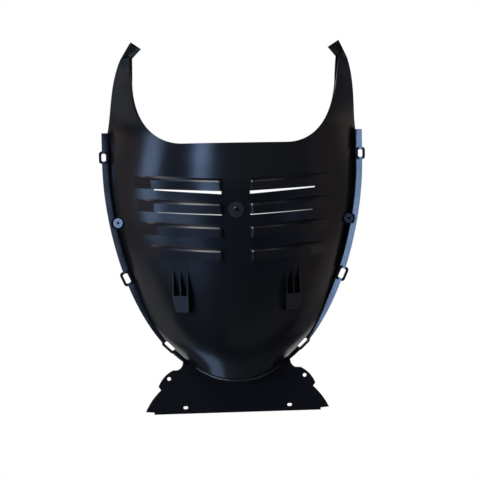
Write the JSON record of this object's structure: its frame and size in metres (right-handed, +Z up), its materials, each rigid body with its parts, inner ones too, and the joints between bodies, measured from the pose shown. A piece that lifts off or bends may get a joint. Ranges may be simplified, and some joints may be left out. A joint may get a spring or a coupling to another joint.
{
  "type": "scooter inner panel",
  "caption": "Moulded black scooter inner panel: crowned shell with horns round a U-cut, hooded louvres, ribbed catches, slotted side flange and a foot skirt with screw holes.",
  "frame": {"origin": "middle of the centre screw hole on the crown of the shell", "axes": "+Z up as fitted, +X to the right seen from the crowned side, the crowned side faces -Y"},
  "size_m": [0.3824, 0.1293, 0.5195],
  "materials": {
    "black_plastic": "satin moulded polypropylene"
  },
  "bodies": {
    "root": {"inner_panel": "black_plastic"}
  },
  "joints": []
}
